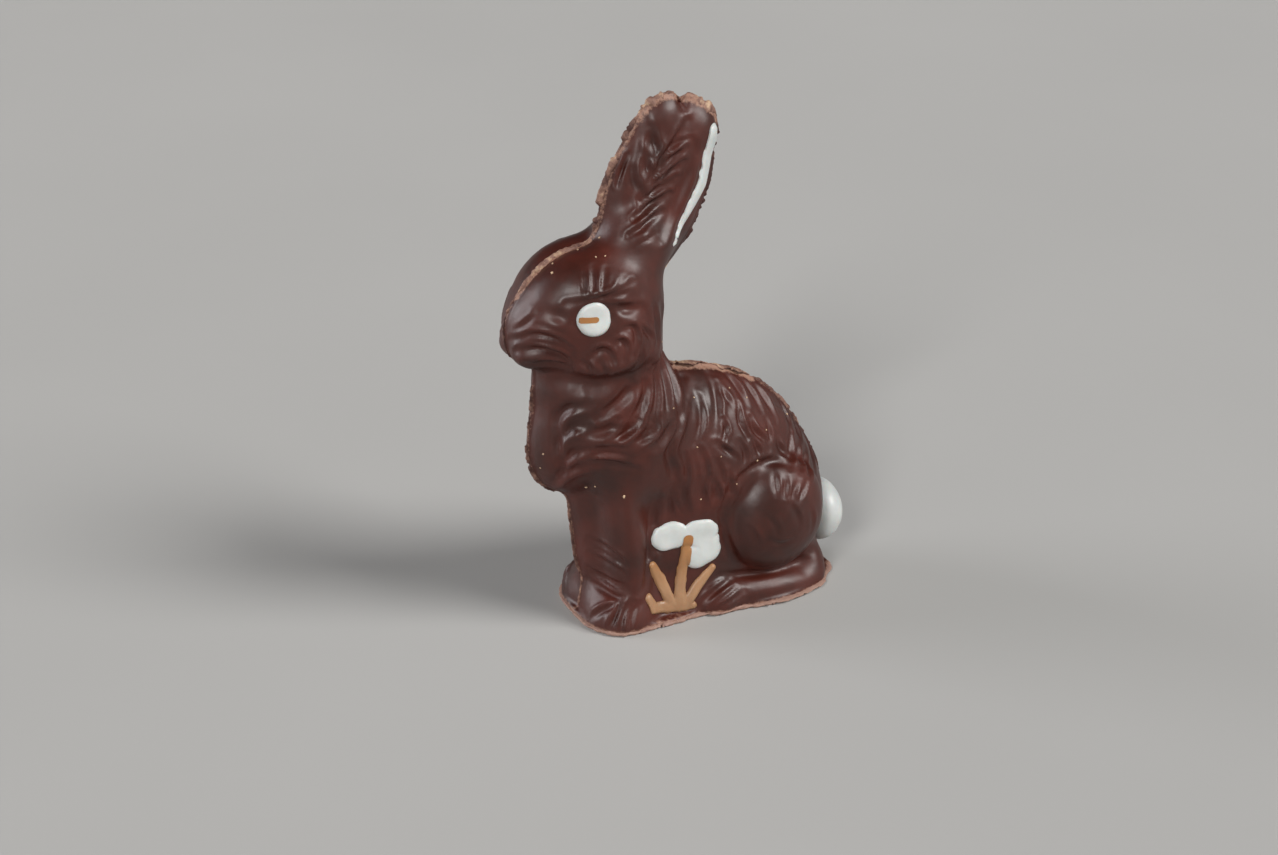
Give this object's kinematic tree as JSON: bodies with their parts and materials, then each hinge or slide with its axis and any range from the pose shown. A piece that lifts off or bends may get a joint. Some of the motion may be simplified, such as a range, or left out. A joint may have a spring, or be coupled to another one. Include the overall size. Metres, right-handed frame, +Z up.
{
  "type": "moulded chocolate rabbit",
  "caption": "Seated dark chocolate rabbit with raised ears joined as one, moulded fur, cream and caramel chocolate inlays and a white tail, on a flat base.",
  "frame": {"origin": "on the flat underside, below the middle of the outline seen from above", "axes": "+Z up, -Y the way the rabbit faces, X across it, with X = 0 the parting plane of the mould"},
  "size_m": [0.0368, 0.0844, 0.1205],
  "materials": {
    "dark_chocolate": "satin",
    "white_chocolate": "satin",
    "caramel_chocolate": "satin"
  },
  "bodies": {
    "root": {"rabbit_body": "dark_chocolate", "tail": "white_chocolate", "eye_left": "white_chocolate", "eye_right": "white_chocolate", "pupil_left": "caramel_chocolate", "pupil_right": "caramel_chocolate", "ear_stripe_left": "white_chocolate", "ear_stripe_right": "white_chocolate", "flower_left": "white_chocolate", "flower_right": "white_chocolate", "stems_left": "caramel_chocolate", "stems_right": "caramel_chocolate"}
  },
  "joints": []
}
